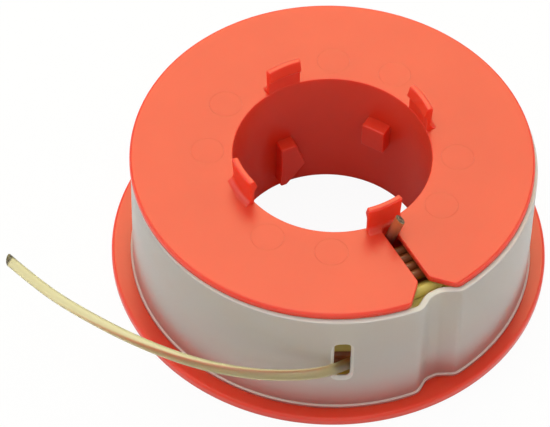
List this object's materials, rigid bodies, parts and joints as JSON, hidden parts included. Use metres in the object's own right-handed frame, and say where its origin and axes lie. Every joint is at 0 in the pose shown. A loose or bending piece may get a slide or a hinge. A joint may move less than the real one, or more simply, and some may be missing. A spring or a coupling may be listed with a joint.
{
  "type": "trimmer line spool",
  "caption": "Flanged grass trimmer spool with hooked catch tabs and drive lugs in its bore, wound with nylon line under a clear grey retaining band that has an exit slot.",
  "frame": {"origin": "on the bore axis, at the lower flange's underside", "axes": "+Z along the bore axis, towards the catch tabs; the line leaves the band on the -Y side and runs towards -X"},
  "size_m": [0.0797, 0.0656, 0.0267],
  "materials": {
    "spool_plastic": "satin moulded, orange red",
    "band_plastic": "smooth, see-through smoke grey",
    "line_nylon": "smooth drawn line, pale yellow"
  },
  "bodies": {
    "root": {"spool": "spool_plastic", "retaining_band": "band_plastic", "line_winding": "line_nylon", "line_start": "line_nylon", "line_tail": "line_nylon"}
  },
  "joints": []
}
